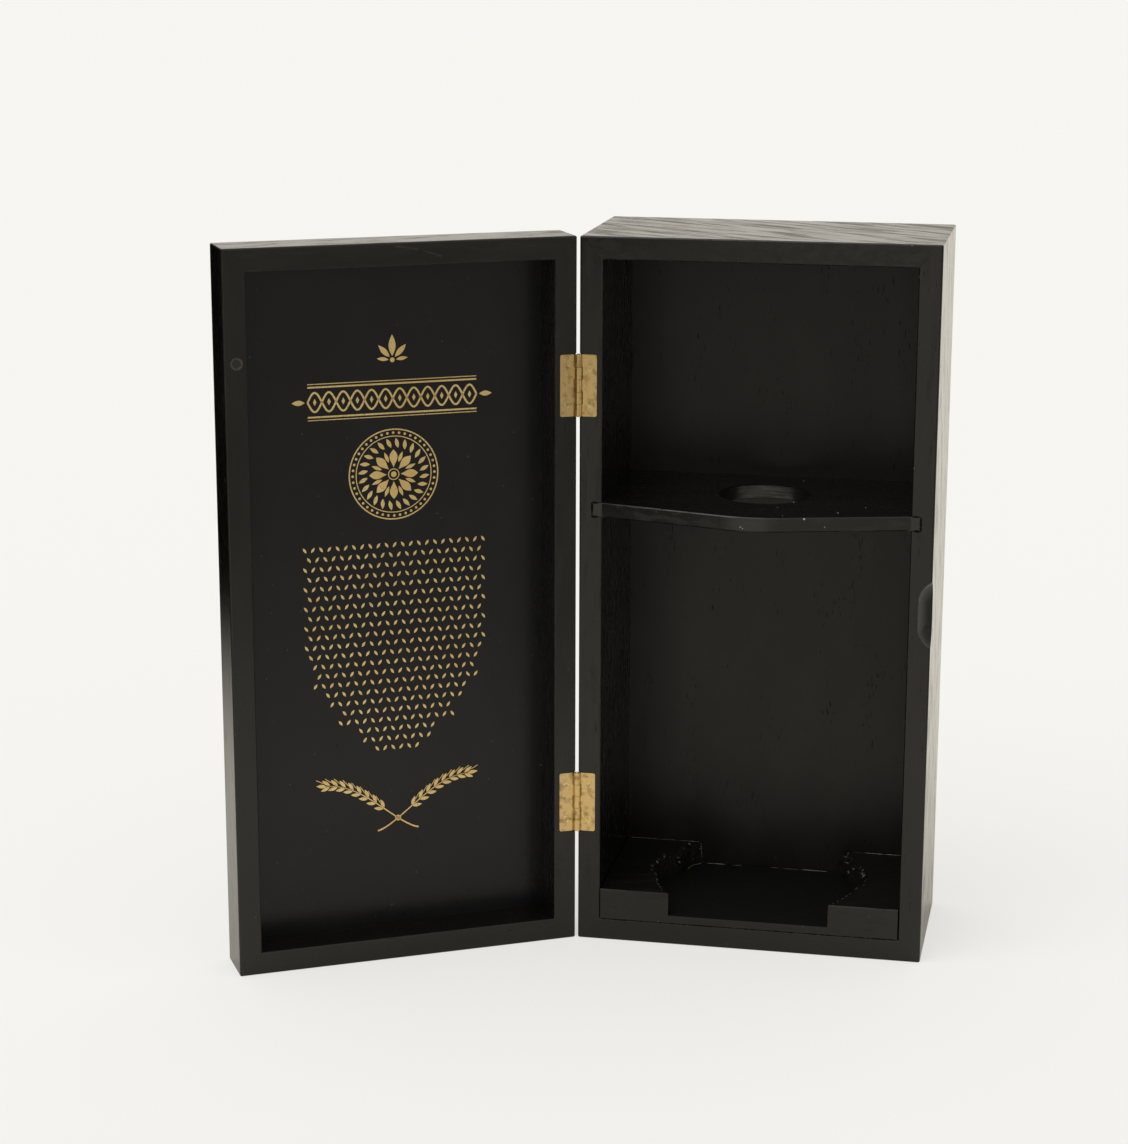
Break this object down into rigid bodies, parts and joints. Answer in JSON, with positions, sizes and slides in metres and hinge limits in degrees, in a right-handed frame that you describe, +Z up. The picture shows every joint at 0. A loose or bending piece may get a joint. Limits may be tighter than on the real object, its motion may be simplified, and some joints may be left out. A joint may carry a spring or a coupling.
{
  "type": "wooden bottle presentation box",
  "caption": "Upright black-stained wooden box for one bottle, with a side-hung lid, a bow-fronted neck shelf and a milled foot cradle.",
  "frame": {"origin": "middle of the underside of the base, on the table", "axes": "+X across the base towards the latch side, +Y from the open front to the back, +Z up"},
  "size_m": [0.288, 0.1477, 0.305],
  "materials": {
    "black_frame": "black satin lacquer over open-grained wood",
    "black_panel": "black satin lacquer over thin veneered panel",
    "black_fittings": "black stain, thin and dull",
    "hinge_brass": "plain pressed brass, lightly tarnished",
    "hinge_steel": "drawn steel wire",
    "screw_brass": "brass-plated",
    "gold_foil": "hot-stamped gold foil print on the lid panel",
    "bare_wood": "bare softwood where a cut edge missed the stain",
    "magnet_nickel": "nickel disc under a coat of black lacquer"
  },
  "bodies": {
    "base": {"base_top_board": "black_frame", "base_bottom_board": "black_frame", "base_hinge_side_board": "black_frame", "base_latch_side_board": "black_frame", "base_back_panel": "black_panel", "neck_shelf": "black_fittings", "bottle_cradle": "black_fittings", "base_magnet_upper": "magnet_nickel", "upper_hinge_base_leaf": "hinge_brass", "upper_hinge_pin": "hinge_steel", "upper_base_screws": "screw_brass", "base_magnet_lower": "magnet_nickel", "lower_hinge_base_leaf": "hinge_brass", "lower_hinge_pin": "hinge_steel", "lower_base_screws": "screw_brass"},
    "lid": {"lid_top_rail": "black_frame", "lid_bottom_rail": "black_frame", "lid_hinge_stile": "black_frame", "lid_free_stile": "black_frame", "lid_panel": "black_panel", "lid_magnet_upper": "magnet_nickel", "upper_hinge_lid_leaf": "hinge_brass", "upper_lid_screws": "screw_brass", "lid_magnet_lower": "magnet_nickel", "lower_hinge_lid_leaf": "hinge_brass", "lower_lid_screws": "screw_brass"}
  },
  "joints": [
    {"name": "lid_swing", "type": "hinge", "parent": "base", "child": "lid", "pos_m": [-0.0745, -0.037, 0], "axis": [0, 0, 1], "range_deg": [-30, 150]}
  ]
}
